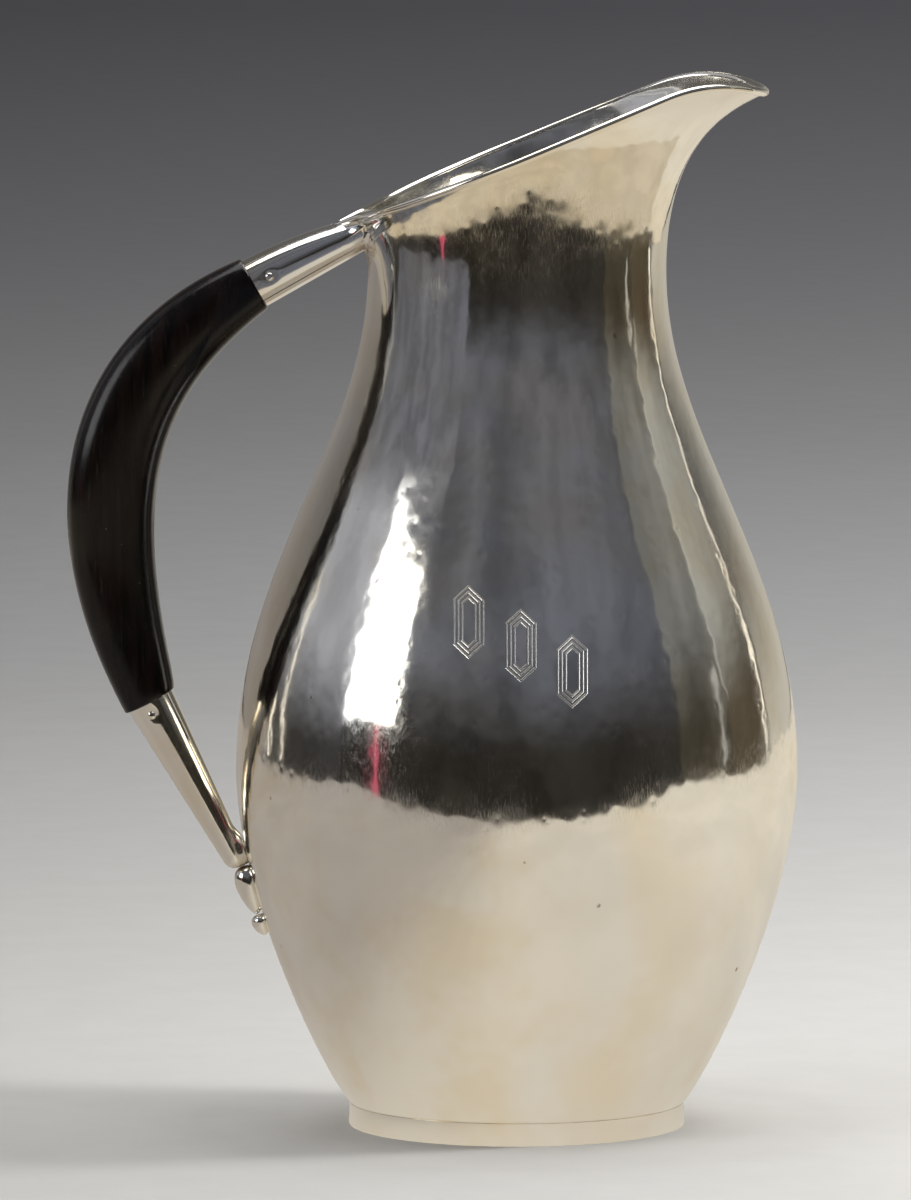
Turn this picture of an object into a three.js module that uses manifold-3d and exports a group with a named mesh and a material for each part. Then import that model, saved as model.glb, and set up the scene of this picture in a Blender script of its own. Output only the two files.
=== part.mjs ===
// A hand-raised silver water pitcher with an ebony handle.
//
// One sheet is raised into a pear-shaped vessel with a sloping, egg-shaped mouth that runs out
// into a broad spout. A foot ring is soldered under it and a round wire along its lip. A tapered
// silver socket is let into the back of the mouth as a gutter, a second one stands off the belly
// above two soldered drops, and an ebony grip is tenoned and pinned into both.
//
// Millimetres, +Z up, spout towards +X, handle towards -X, the same on both sides of Y = 0.
// The pieces are drawn round the vessel's own axis. The finished group is then moved along X so
// that its origin is the middle of its footprint on the table.

import * as THREE from 'three';
import { mergeVertices } from 'three/addons/utils/BufferGeometryUtils.js';
import Module from 'manifold-3d';

const wasm = await Module();
wasm.setup();

// ---------------------------------------------------------------- driving dimensions

// Sheet and fits.
const WALL = 1.0;                 // the silver sheet
const GAP = 0.3;                  // solder or glue line between two touching pieces

// Foot ring.
const FOOT_R = 37.0;              // outside, where it stands
const FOOT_TOP_R = 36.4;          // outside, under the vessel
const FOOT_BAND = 2.0;            // radial width of the standing face
const FOOT_H = 4.2;

// Vessel, by the levels that its outline turns at.
const SEAT_R = 36.3;              // where the vessel leaves the foot ring
const SEAT_ANGLE = 45;            // degrees from the vertical there
const SEAT_PULL = 7.7;            // how long that direction is held
const BELLY_R = 61.6;
const BELLY_Z = 78.1;
const BELLY_PULL_DOWN = 27.6;     // how long the belly stays upright below its widest level
const BELLY_PULL_UP = 45.1;       // and above it
const NECK_R = 32.4;
const NECK_Z = 186.7;
const NECK_PULL = 35.9;           // how long the neck stays upright below its narrowest level

// Mouth. Its line is the centre of the lip wire: a half circle at the back, half an ellipse in
// front, climbing in a straight line towards the spout, which dips again at its tip.
const LIP_R = 34.0;               // half circle at the back, and half the mouth's width
const SPOUT_X = 54.4;             // reach of the spout from the axis
const LIP_BACK_RISE = 13.0;       // back of the lip above the neck's narrowest level
const LIP_SLOPE = 0.402;          // climb for each millimetre forward
const DIP_START_X = 32;           // where the spout begins to level off
const SPOUT_DIP = 9.2;            // how far its tip ends below the straight climb
const FLARE_HOLD = 0.57;          // share of the rise before the neck starts to open
const FLARE_OUT = 0.335;          // share of the opening reached at FLARE_RISE
const FLARE_RISE = 0.86;
const WIRE_R = 0.9;               // lip wire

// Upper socket, from the mouth back and down to the grip.
const UPPER_R_MOUTH = 5.4;
const UPPER_R_GRIP = 5.6;
const UPPER_L = 26.4;             // lip to grip along the socket
const UPPER_ANGLE = 29.3;         // climb towards the mouth, degrees
const UPPER_SINK = 2.2;           // its centre line below the mouth's line at the back
const GUTTER_L = 10;              // the hollow behind the lip that opens into the mouth

// Lower socket, from the belly up to the grip.
const LOWER_JOINT_Z = 57.2;       // level of its foot on the belly
const LOWER_R_TIP = 2.4;
const LOWER_R_GRIP = 5.35;
const LOWER_L = 41.2;
const LOWER_ANGLE = 28.0;         // lean from the vertical, degrees
const LOWER_BITE = 0.4;           // how deep its side is filed to fit the belly
const LOWER_BORE_L = 32;          // the hollow of the socket

// Grip.
const GRIP_END_UPPER = 12.3;      // thickness at the upper socket, seen from the side
const GRIP_END_LOWER = 12.2;
const GRIP_SWELL = 7.1;           // what the middle adds to that
const GRIP_WIDTH_ENDS = 11.6;     // across
const GRIP_WIDTH_SWELL = 3.2;
const GRIP_SQUARENESS = 2.4;      // 2 is an oval section, more is squarer
const GRIP_PULL_UPPER = 32.1;     // how far it runs on in line with the upper socket
const GRIP_PULL_LOWER = 52.3;     // and how far it holds its lean above the lower one
const GRIP_LEAN = 20.7;           // that lean, degrees from the vertical
const TENON_L = 11;

// Pins, driven across through socket and tenon.
const PIN_R = 0.9;
const PIN_DOME = 0.35;            // height of the rounded head above the socket
const UPPER_PIN_INSET = 3.7;      // from the end of the grip
const LOWER_PIN_INSET = 2.6;
const LOWER_PIN_OFFSET = 0.9;     // outside the socket's centre line, on the side away from the vessel

// Soldered drops below the lower socket.
const LARGE_DROP_L = 11;
const LARGE_DROP_R = 3.0;
const LARGE_DROP_OUT = 0.9;       // its own axis outside the belly
const SMALL_DROP_L = 4.8;
const SMALL_DROP_R = 2.1;
const SMALL_DROP_OUT = 0.8;
const DROP_FULLNESS = 0.18;       // how much fuller the upper half is

// Facets.
const ROUND = 56;                 // round the vessel
const LOW_STEPS = 8;              // foot to belly
const HIGH_STEPS = 9;             // belly to neck
const MOUTH_STEPS = 7;            // neck to lip
const TUBE_ROUND = 24;            // round a socket or the grip
const WIRE_ROUND = 8;
const WIRE_STEPS = 64;
const GRIP_STEPS = 22;
const PIN_ROUND = 16;
const DOME_STEPS = 4;             // rounded ends and heads

const BEYOND = 6;                 // how far a cutting tool runs past what it cuts
const FINE = 1e-4;                // below this, two places are one and a step is a tangent's

// ---------------------------------------------------------------- solids

// A closed geometry becomes a solid that can be joined and cut.
function solid(geometry) {
  const bare = geometry.clone();
  bare.deleteAttribute('normal');
  bare.deleteAttribute('uv');
  const merged = mergeVertices(bare, FINE);
  const vertProperties = new Float32Array(merged.attributes.position.array);
  const triVerts = new Uint32Array(merged.index.array);
  return new wasm.Manifold(new wasm.Mesh({ numProp: 3, vertProperties, triVerts }));
}

function geometryOf(shape) {
  const mesh = shape.getMesh();
  const geometry = new THREE.BufferGeometry();
  geometry.setAttribute('position', new THREE.BufferAttribute(mesh.vertProperties, 3));
  geometry.setIndex(new THREE.BufferAttribute(mesh.triVerts, 1));
  return geometry;
}

// Six times the volume inside a list of triangles: negative when they face inwards.
function signedVolume(positions, triangles) {
  const a = new THREE.Vector3();
  const b = new THREE.Vector3();
  const c = new THREE.Vector3();
  let total = 0;
  for (let i = 0; i < triangles.length; i += 3) {
    a.fromArray(positions, 3 * triangles[i]);
    b.fromArray(positions, 3 * triangles[i + 1]);
    c.fromArray(positions, 3 * triangles[i + 2]);
    total += a.dot(b.cross(c));
  }
  return total;
}

// A skin through rings of points, closed at both ends by a fan round each end ring's middle.
function loft(rings) {
  const count = rings[0].length;
  const positions = [];
  const triangles = [];
  for (const ring of rings) {
    for (const point of ring) {
      positions.push(point.x, point.y, point.z);
    }
  }
  for (let i = 0; i + 1 < rings.length; i += 1) {
    for (let j = 0; j < count; j += 1) {
      const a = i * count + j;
      const b = i * count + ((j + 1) % count);
      triangles.push(a, b, b + count, a, b + count, a + count);
    }
  }
  for (const end of [0, rings.length - 1]) {
    const middle = new THREE.Vector3();
    for (const point of rings[end]) {
      middle.addScaledVector(point, 1 / count);
    }
    positions.push(middle.x, middle.y, middle.z);
    const hub = positions.length / 3 - 1;
    for (let j = 0; j < count; j += 1) {
      const a = end * count + j;
      const b = end * count + ((j + 1) % count);
      triangles.push(...(end === 0 ? [hub, b, a] : [hub, a, b]));
    }
  }
  if (signedVolume(positions, triangles) < 0) {
    triangles.reverse();
  }
  const geometry = new THREE.BufferGeometry();
  geometry.setAttribute('position', new THREE.Float32BufferAttribute(positions, 3));
  geometry.setIndex(triangles);
  return geometry;
}

// A point of a plane cubic from start to end, by two pulls along its end directions.
function cubic(a, b, c, d, t) {
  const s = 1 - t;
  return s * s * s * a + 3 * s * s * t * b + 3 * s * t * t * c + t * t * t * d;
}

function steps(count) {
  return Array.from({ length: count + 1 }, (_, i) => i / count);
}

const radians = THREE.MathUtils.degToRad;

// ---------------------------------------------------------------- vessel surface

// Outside radius and level of the vessel's round part. Stations 0 to 1 run from the foot to the
// belly and 1 to 2 from the belly to the neck.
function outline(station) {
  const seatZ = FOOT_H + GAP;
  const lean = radians(SEAT_ANGLE);
  if (station <= 1) {
    return {
      r: cubic(SEAT_R, SEAT_R + SEAT_PULL * Math.sin(lean), BELLY_R, BELLY_R, station),
      z: cubic(seatZ, seatZ + SEAT_PULL * Math.cos(lean), BELLY_Z - BELLY_PULL_DOWN, BELLY_Z, station),
    };
  }
  return {
    r: cubic(BELLY_R, BELLY_R, NECK_R, NECK_R, station - 1),
    z: cubic(BELLY_Z, BELLY_Z + BELLY_PULL_UP, NECK_Z - NECK_PULL, NECK_Z, station - 1),
  };
}

// The mouth's line seen from the side.
function lipHeight(x) {
  const climb = NECK_Z + LIP_BACK_RISE + LIP_SLOPE * (x + LIP_R);
  const along = Math.max(0, (x - DIP_START_X) / (SPOUT_X - DIP_START_X));
  return climb - SPOUT_DIP * along * along;
}

// The mouth's line round the axis.
function lipPoint(angle) {
  const reach = Math.cos(angle) > 0 ? SPOUT_X : LIP_R;
  const x = reach * Math.cos(angle);
  return new THREE.Vector3(x, LIP_R * Math.sin(angle), lipHeight(x));
}

// A point of the outside of the vessel. Stations 2 to 3 run from the neck to the mouth's line.
function surfacePoint(angle, station) {
  if (station <= 2) {
    const { r, z } = outline(station);
    return new THREE.Vector3(r * Math.cos(angle), r * Math.sin(angle), z);
  }
  const lip = lipPoint(angle);
  const start = new THREE.Vector3(NECK_R * Math.cos(angle), NECK_R * Math.sin(angle), NECK_Z);
  const t = station - 2;
  const open = cubic(0, 0, FLARE_OUT, 1, t);
  const rise = cubic(0, FLARE_HOLD, FLARE_RISE, 1, t);
  return new THREE.Vector3(
    start.x + (lip.x - start.x) * open,
    start.y + (lip.y - start.y) * open,
    start.z + (lip.z - start.z) * rise,
  );
}

// Direction up the vessel and the outward normal at one point of it.
function surfaceFrame(angle, station) {
  const low = surfacePoint(angle, Math.max(0, station - FINE));
  const high = surfacePoint(angle, Math.min(3, station + FINE));
  const up = high.sub(low).normalize();
  const round = surfacePoint(angle + FINE, station).sub(surfacePoint(angle - FINE, station)).normalize();
  return { up, out: round.cross(up).normalize() };
}

// One ring of the vessel, moved inwards by a depth. The top ring stops below the lip wire.
function vesselRing(station, depth) {
  const floor = FOOT_H + GAP + depth;
  return Array.from({ length: ROUND }, (_, j) => {
    const angle = (2 * Math.PI * j) / ROUND;
    const point = surfacePoint(angle, station);
    const frame = surfaceFrame(angle, station);
    point.addScaledVector(frame.out, -depth);
    if (station === 3) {
      point.addScaledVector(frame.up, -WIRE_R - GAP);
    }
    point.z = Math.max(point.z, floor);
    return point;
  });
}

const stations = [
  ...steps(LOW_STEPS).slice(0, -1),
  ...steps(HIGH_STEPS).map((t) => 1 + t).slice(0, -1),
  ...steps(MOUTH_STEPS).map((t) => 2 + t),
];

// A place on the handle's side of the vessel, found by halving: the highest station that is still
// below what is asked for.
function seatWhere(isBelow) {
  let low = 0;
  let high = 2;
  while (high - low > FINE) {
    const middle = (low + high) / 2;
    if (isBelow(surfacePoint(Math.PI, middle))) {
      low = middle;
    } else {
      high = middle;
    }
  }
  const { up, out } = surfaceFrame(Math.PI, low);
  return { point: surfacePoint(Math.PI, low), up, out };
}

// The seat a distance down the vessel from another seat.
function seatBelow(seat, distance) {
  return seatWhere((point) => point.z < seat.point.z && point.distanceTo(seat.point) > distance);
}

// The vessel's round part, filled and grown by the solder line: what is soldered to it is cut to fit.
function grownVessel() {
  return solid(loft(stations.filter((s) => s <= 2).map((s) => vesselRing(s, -GAP))));
}

// ---------------------------------------------------------------- round pieces along a straight axis

const ACROSS = new THREE.Vector3(0, 1, 0);

// A direction in the plane of the handle, by its angle above the horizontal towards the handle.
function handleDirection(degrees) {
  return new THREE.Vector3(-Math.cos(radians(degrees)), 0, Math.sin(radians(degrees)));
}

function circle(centre, axis, radius, count) {
  const side = new THREE.Vector3().crossVectors(axis, ACROSS).normalize();
  return Array.from({ length: count }, (_, j) => {
    const angle = (2 * Math.PI * j) / count;
    return centre
      .clone()
      .addScaledVector(side, radius * Math.cos(angle))
      .addScaledVector(ACROSS, radius * Math.sin(angle));
  });
}

// A round bar from start along axis, through [distance, radius] stops.
function bar(start, axis, stops) {
  return loft(stops.map(([distance, radius]) => {
    const centre = start.clone().addScaledVector(axis, distance);
    return circle(centre, axis, radius, TUBE_ROUND);
  }));
}

// ---------------------------------------------------------------- sockets

const upperAxis = handleDirection(-UPPER_ANGLE);
const upperLipEnd = new THREE.Vector3(-LIP_R, 0, lipHeight(-LIP_R) - UPPER_SINK);
const upperGripEnd = upperLipEnd.clone().addScaledVector(upperAxis, UPPER_L);

// How far forward of the lip a tool runs along the socket to come out inside the neck.
const throughNeck = (LIP_R - NECK_R + WALL) / Math.cos(radians(UPPER_ANGLE)) + BEYOND;

// Outside radius at a distance from the lip.
function upperRadius(distance) {
  return THREE.MathUtils.lerp(UPPER_R_MOUTH, UPPER_R_GRIP, distance / UPPER_L);
}

const lowerFoot = seatWhere((point) => point.z < LOWER_JOINT_Z);
const lowerAxis = handleDirection(90 - LOWER_ANGLE);
const lowerTip = lowerFoot.point.clone().addScaledVector(lowerFoot.out, LOWER_R_TIP - LOWER_BITE);
const lowerGripEnd = lowerTip.clone().addScaledVector(lowerAxis, LOWER_L);

// Outside radius at a distance from the belly.
function lowerRadius(distance) {
  return THREE.MathUtils.lerp(LOWER_R_TIP, LOWER_R_GRIP, distance / LOWER_L);
}

// The upper socket as a plain bar, grown all round by a margin.
function upperBar(margin) {
  return solid(bar(upperLipEnd, upperAxis, [
    [-throughNeck, upperRadius(0) + margin],
    [0, upperRadius(0) + margin],
    [UPPER_L, upperRadius(UPPER_L) + margin],
  ]));
}

// A pin's hole or its shaft: a bar across the handle, so long.
function crossBar(centre, radius, length) {
  const geometry = new THREE.CylinderGeometry(radius, radius, length, PIN_ROUND);
  geometry.translate(centre.x, centre.y, centre.z);
  return geometry;
}

const upperPinCentre = upperGripEnd.clone().addScaledVector(upperAxis, -UPPER_PIN_INSET);
const lowerPinCentre = lowerGripEnd
  .clone()
  .addScaledVector(lowerAxis, -LOWER_PIN_INSET)
  .addScaledVector(handleDirection(-LOWER_ANGLE), LOWER_PIN_OFFSET);

function pinHole(centre) {
  return solid(crossBar(centre, PIN_R + GAP, 2 * (UPPER_R_GRIP + BEYOND)));
}

// Everything beyond a plane through a point, near that point, on the side that normal points to.
function beyondPlane(point, normal, size) {
  const box = new THREE.BoxGeometry(size, size, size);
  box.translate(0, 0, size / 2);
  box.applyQuaternion(new THREE.Quaternion().setFromUnitVectors(new THREE.Vector3(0, 0, 1), normal));
  box.translate(point.x, point.y, point.z);
  return solid(box);
}

function upperSocket() {
  const tenonHole = bar(upperGripEnd, upperAxis, [
    [-TENON_L - GAP, upperRadius(UPPER_L - TENON_L) - WALL],
    [0, upperRadius(UPPER_L) - WALL],
    [BEYOND, upperRadius(UPPER_L) - WALL],
  ]);
  const hollow = upperRadius(0) - WALL;
  const bowl = steps(DOME_STEPS).slice(0, -1).map((t) => {
    const turn = (t * Math.PI) / 2;
    return [GUTTER_L - hollow + hollow * Math.sin(turn), hollow * Math.cos(turn)];
  });
  const gutter = bar(upperLipEnd, upperAxis, [[-throughNeck - BEYOND, hollow], ...bowl]);
  const mouthLine = new THREE.Vector3(-LIP_R, 0, lipHeight(-LIP_R) + WIRE_R);
  const mouthNormal = new THREE.Vector3(-LIP_SLOPE, 0, 1).normalize();
  const neckHole = new THREE.CylinderGeometry(NECK_R - WALL, NECK_R - WALL, 2 * UPPER_L, ROUND);
  neckHole.rotateX(Math.PI / 2);
  neckHole.translate(0, 0, upperLipEnd.z);
  return geometryOf(
    upperBar(0)
      .subtract(solid(tenonHole))
      .subtract(solid(gutter))
      .subtract(beyondPlane(mouthLine, mouthNormal, 4 * UPPER_L))
      .subtract(solid(neckHole))
      .subtract(pinHole(upperPinCentre)),
  );
}

function lowerSocket() {
  const outside = bar(lowerTip, lowerAxis, [
    [-BEYOND, lowerRadius(0)],
    [0, lowerRadius(0)],
    [LOWER_L, lowerRadius(LOWER_L)],
  ]);
  const hollow = bar(lowerGripEnd, lowerAxis, [
    [-LOWER_BORE_L, lowerRadius(LOWER_L - LOWER_BORE_L) - WALL],
    [0, lowerRadius(LOWER_L) - WALL],
    [BEYOND, lowerRadius(LOWER_L) - WALL],
  ]);
  const down = lowerFoot.up.clone().negate();
  return geometryOf(
    solid(outside)
      .subtract(solid(hollow))
      .subtract(grownVessel())
      .subtract(beyondPlane(lowerFoot.point, down, 4 * LOWER_R_GRIP))
      .subtract(pinHole(lowerPinCentre)),
  );
}

// ---------------------------------------------------------------- grip

// One ring of the grip: an oval with squared shoulders.
function gripRing(centre, along, thickness, width) {
  const side = new THREE.Vector3().crossVectors(along, ACROSS).normalize();
  const power = 2 / GRIP_SQUARENESS;
  return Array.from({ length: TUBE_ROUND }, (_, j) => {
    const angle = (2 * Math.PI * j) / TUBE_ROUND;
    const c = Math.cos(angle);
    const s = Math.sin(angle);
    return centre
      .clone()
      .addScaledVector(side, (thickness / 2) * Math.sign(c) * Math.abs(c) ** power)
      .addScaledVector(ACROSS, (width / 2) * Math.sign(s) * Math.abs(s) ** power);
  });
}

function handleGrip() {
  const top = upperGripEnd.clone().addScaledVector(upperAxis, GAP);
  const foot = lowerGripEnd.clone().addScaledVector(lowerAxis, GAP);
  const spine = new THREE.CubicBezierCurve3(
    top,
    top.clone().addScaledVector(upperAxis, GRIP_PULL_UPPER),
    foot.clone().addScaledVector(handleDirection(90 - GRIP_LEAN), GRIP_PULL_LOWER),
    foot,
  );
  const squareTo = new Map([[0, upperAxis], [1, lowerAxis.clone().negate()]]);
  const body = steps(GRIP_STEPS).map((t) => {
    const along = squareTo.get(t) ?? spine.getTangentAt(t);
    const swell = 4 * t * (1 - t);
    const thickness = THREE.MathUtils.lerp(GRIP_END_UPPER, GRIP_END_LOWER, t) + GRIP_SWELL * swell;
    const width = GRIP_WIDTH_ENDS + GRIP_WIDTH_SWELL * swell;
    return gripRing(spine.getPointAt(t), along, thickness, width);
  });
  const slack = WALL + GAP;
  const upperInto = upperAxis.clone().negate();
  const lowerInto = lowerAxis.clone().negate();
  const upperTenon = [TENON_L, 0].map((d) => circle(
    top.clone().addScaledVector(upperInto, d),
    upperAxis,
    upperRadius(UPPER_L - d) - slack,
    TUBE_ROUND,
  ));
  const lowerTenon = [0, TENON_L].map((d) => circle(
    foot.clone().addScaledVector(lowerInto, d),
    lowerInto,
    lowerRadius(LOWER_L - d) - slack,
    TUBE_ROUND,
  ));
  return geometryOf(
    solid(loft([...upperTenon, ...body, ...lowerTenon]))
      .subtract(pinHole(upperPinCentre))
      .subtract(pinHole(lowerPinCentre)),
  );
}

// ---------------------------------------------------------------- small pieces

// A pin across a socket of this radius, with a low dome at both ends.
function pin(centre, socketR) {
  const half = socketR + PIN_DOME;
  const dome = steps(DOME_STEPS).map((t) => {
    const turn = (t * Math.PI) / 2;
    return new THREE.Vector2(PIN_R * Math.cos(turn), socketR + PIN_DOME * Math.sin(turn));
  });
  dome[dome.length - 1].set(0, half);
  const mirrored = dome.map((p) => new THREE.Vector2(p.x, -p.y)).reverse();
  const geometry = new THREE.LatheGeometry([...mirrored, ...dome], PIN_ROUND);
  geometry.translate(centre.x, centre.y, centre.z);
  return geometry;
}

// A drop soldered to the belly, so far below the lower socket's foot: an egg, fuller at its upper
// end, filed to the belly behind.
function drop(below, length, radius, stand) {
  const seat = seatBelow(lowerFoot, below + length / 2);
  const middle = seat.point.clone().addScaledVector(seat.out, stand);
  const turns = steps(4 * DOME_STEPS).slice(1, -1);
  const rings = turns.map((t) => {
    const turn = t * Math.PI;
    const full = radius * Math.sin(turn) * (1 + DROP_FULLNESS * Math.cos(turn));
    const centre = middle.clone().addScaledVector(seat.up, (length / 2) * Math.cos(turn));
    return circle(centre, seat.up, full, TUBE_ROUND);
  });
  return geometryOf(solid(loft(rings)).subtract(grownVessel()));
}

function footRing() {
  const section = [
    new THREE.Vector2(FOOT_R - FOOT_BAND, 0),
    new THREE.Vector2(FOOT_R, 0),
    new THREE.Vector2(FOOT_TOP_R, FOOT_H),
    new THREE.Vector2(FOOT_TOP_R - FOOT_BAND, FOOT_H),
    new THREE.Vector2(FOOT_R - FOOT_BAND, 0),
  ];
  const geometry = new THREE.LatheGeometry(section, ROUND);
  geometry.rotateX(Math.PI / 2);
  return geometryOf(solid(geometry));
}

function bodyShell() {
  const outside = stations.map((s) => vesselRing(s, 0));
  const inside = stations.map((s) => vesselRing(s, WALL)).reverse();
  return geometryOf(solid(loft([...outside, ...inside])).subtract(upperBar(GAP)));
}

// The lip wire runs from one side of the upper socket round the spout to the other side.
function rimWire() {
  const clear = Math.asin((UPPER_R_MOUTH + GAP) / (LIP_R - WALL / 2 - WIRE_R));
  const rings = steps(WIRE_STEPS).map((t) => {
    const angle = THREE.MathUtils.lerp(-Math.PI + clear, Math.PI - clear, t);
    const { up, out } = surfaceFrame(angle, 3);
    const middle = lipPoint(angle).addScaledVector(out, -WALL / 2);
    return Array.from({ length: WIRE_ROUND }, (_, j) => {
      const turn = (2 * Math.PI * j) / WIRE_ROUND;
      return middle
        .clone()
        .addScaledVector(out, WIRE_R * Math.cos(turn))
        .addScaledVector(up, WIRE_R * Math.sin(turn));
    });
  });
  return loft(rings);
}

// ---------------------------------------------------------------- materials and assembly

function silver() {
  return new THREE.MeshStandardMaterial({ color: 0xe6e0d2, roughness: 0.14, metalness: 1 });
}

function ebony() {
  return new THREE.MeshStandardMaterial({ color: 0x1c1310, roughness: 0.35, metalness: 0 });
}

const pitcher = new THREE.Group();

function add(name, geometry, material) {
  const mesh = new THREE.Mesh(geometry, material);
  mesh.name = name;
  pitcher.add(mesh);
}

const belowLargeDrop = GAP + LARGE_DROP_L + GAP;

add('body_shell', bodyShell(), silver());
add('foot_ring', footRing(), silver());
add('rim_wire', rimWire(), silver());
add('upper_socket', upperSocket(), silver());
add('upper_pin', pin(upperPinCentre, upperRadius(UPPER_L - UPPER_PIN_INSET)), silver());
add('handle_grip', handleGrip(), ebony());
add('lower_socket', lowerSocket(), silver());
add('lower_pin', pin(lowerPinCentre, lowerRadius(LOWER_L - LOWER_PIN_INSET)), silver());
add('large_drop', drop(GAP, LARGE_DROP_L, LARGE_DROP_R, LARGE_DROP_OUT), silver());
add('small_drop', drop(belowLargeDrop, SMALL_DROP_L, SMALL_DROP_R, SMALL_DROP_OUT), silver());

const extent = new THREE.Box3().setFromObject(pitcher, true);
pitcher.position.x = -(extent.min.x + extent.max.x) / 2;

export default pitcher;
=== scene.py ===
import math

import bmesh
import bpy
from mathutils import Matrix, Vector
from mathutils.bvhtree import BVHTree


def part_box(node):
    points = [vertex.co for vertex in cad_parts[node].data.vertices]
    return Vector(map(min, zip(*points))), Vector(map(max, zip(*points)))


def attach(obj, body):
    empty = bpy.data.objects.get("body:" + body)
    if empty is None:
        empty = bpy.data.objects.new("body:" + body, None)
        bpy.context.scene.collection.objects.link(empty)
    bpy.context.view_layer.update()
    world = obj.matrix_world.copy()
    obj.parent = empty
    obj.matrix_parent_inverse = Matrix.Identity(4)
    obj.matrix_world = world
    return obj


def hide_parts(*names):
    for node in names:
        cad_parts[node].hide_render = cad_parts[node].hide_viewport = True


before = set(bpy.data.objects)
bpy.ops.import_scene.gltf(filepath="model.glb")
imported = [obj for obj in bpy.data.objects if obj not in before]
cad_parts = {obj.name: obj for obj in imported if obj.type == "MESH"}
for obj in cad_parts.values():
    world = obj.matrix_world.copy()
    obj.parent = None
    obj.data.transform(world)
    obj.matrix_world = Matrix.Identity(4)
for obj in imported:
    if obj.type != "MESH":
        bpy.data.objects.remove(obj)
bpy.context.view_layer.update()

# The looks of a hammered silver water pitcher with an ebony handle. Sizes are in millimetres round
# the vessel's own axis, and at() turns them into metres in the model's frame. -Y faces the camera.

MM = 0.001


def middle(node):
    low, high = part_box(node)
    return (Vector(low) + Vector(high)) / 2


AXIS = Vector((middle("foot_ring").x, 0, 0))


def at(x, y, z):
    return AXIS + Vector((x, y, z)) * MM


def local(point):
    return (point - AXIS) / MM


# ---------------------------------------------------------------- sizes

WALL = 1.0
GAP = 0.3

FOOT_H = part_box("foot_ring")[1].z / MM
FOOT_SET_IN = 0.25                # so that its outside runs on from the belly's
FOOT_DRAFT = 0.15                 # how much narrower it is above
FOOT_R = (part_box("foot_ring")[1].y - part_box("foot_ring")[0].y) / 2 / MM - FOOT_SET_IN
FOOT_TOP_R = FOOT_R - FOOT_DRAFT
FOOT_TOP_Z = FOOT_H + GAP * 2.5   # its top edge stands in the seat, as if soldered
FOOT_BAND = 2.0
FOOT_EDGE = 0.3                   # rounding of its edges

SEAT_R = 36.3
SEAT_Z = FOOT_H + GAP
SEAT_ANGLE = math.radians(45)
SEAT_PULL = 7.7
BELLY_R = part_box("body_shell")[1].y / MM
BELLY_Z = 78.1
BELLY_PULL_DOWN = 27.6
BELLY_PULL_UP = 45.1
NECK_R = 32.4
NECK_Z = 186.7
NECK_PULL = 35.9

LIP_R = 34.0
SPOUT_X = 54.4
LIP_BACK_RISE = 13.0
LIP_SLOPE = 0.402
DIP_START_X = 32
SPOUT_DIP = 9.2
SPOUT_BROAD = 0.15                # how much blunter the spout's end is than an ellipse's
FLARE_HOLD = 0.57
FLARE_OUT = 0.335
FLARE_RISE = 0.86
WIRE_R = 0.9
WIRE_POINTS = 320
WIRE_LOW = 0.36                   # how far its middle lies below the shell's edge
WIRE_OUT = 0.35                   # how far it stands out at the sides
WIRE_TAIL_LOW = 0.5               # how much lower it lies over the upper socket
WIRE_TAIL_THIN = 0.45             # and how much thinner
WIRE_FULLER = 0.03                # how much fuller it is at the spout's tip

TAIL_L = 7.0                      # how far the mouth runs back on to the upper socket, as a gutter
TAIL_HALF = 4.6                   # half its width
TAIL_POINT = 1.6                  # 1 is a sharp point, 2 a round one

UPPER_R = 5.6
UPPER_L = 26.4
UPPER_ANGLE = math.radians(29.3)
UPPER_SINK = 2.2
LOWER_JOINT_Z = 57.2
LOWER_R_TIP = 2.4
LOWER_R_GRIP = 5.35
LOWER_L = 41.2
LOWER_ANGLE = math.radians(28.0)
LOWER_BITE = 0.4

GRIP_END_UPPER = 12.3
GRIP_END_LOWER = 12.2
GRIP_SWELL = 7.1
GRIP_WIDTH_ENDS = 11.6
GRIP_WIDTH_SWELL = 3.2
GRIP_SQUARENESS = 2.6
GRIP_PULL_UPPER = 32.1
GRIP_PULL_LOWER = 52.3
GRIP_LEAN = math.radians(20.7)
GRIP_EDGE = 0.35                  # rounding where its ends are cut square
GRIP_CAP_IN = 2.2                 # from its side to the inner ring of its end faces
GRIP_SHOULDER = 0.006             # share of its length left to the rounding
GRIP_SQUARE_END = 0.05            # share over which its section turns square to the socket

PIN_R = 0.9
PIN_ROUND = 32
PIN_DOME = ((0.18, 0.16), (0.22, 0.11), (0.22, 0.05))  # each step in and up to the top of a head
UPPER_PIN_HALF = 5.5              # from the middle plane to the foot of a head
LOWER_PIN_HALF = 4.95
DIMPLE_R = 1.5
DIMPLE_DEPTH = 0.3

LARGE_DROP = (11.0, 3.0, 0.9)     # length, radius, and how far its own axis stands off the belly
SMALL_DROP = (4.8, 2.1, 0.8)
DROP_FULLNESS = 0.34              # how much fuller it is above than below
DROP_SLIM = 0.94                  # so that the fuller part keeps to the stated radius
DROP_BLUNT = 0.9                  # below 1 its ends are blunter than an ellipse's
DROP_SINK = 0.15                  # how far its flat back lies inside the belly's surface

HAMMER_DEPTH = 0.07
HAMMER_SIZE = 6.5
FLOOR_SHARES = (0.3, 0.62, 0.9, 0.985)  # rings of the floor, by share of the seat's radius

ROUND = 72
BACK_CROWDING = 0.5               # the mesh is this much closer at the handle's side
LOW_STEPS = 9
HIGH_STEPS = 12
MOUTH_STEPS = 9

UPPER_AXIS = Vector((-math.cos(UPPER_ANGLE), 0, -math.sin(UPPER_ANGLE)))
LOWER_AXIS = Vector((-math.sin(LOWER_ANGLE), 0, math.cos(LOWER_ANGLE)))
ACROSS = Vector((0, 1, 0))


# ---------------------------------------------------------------- the vessel's outside

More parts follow.
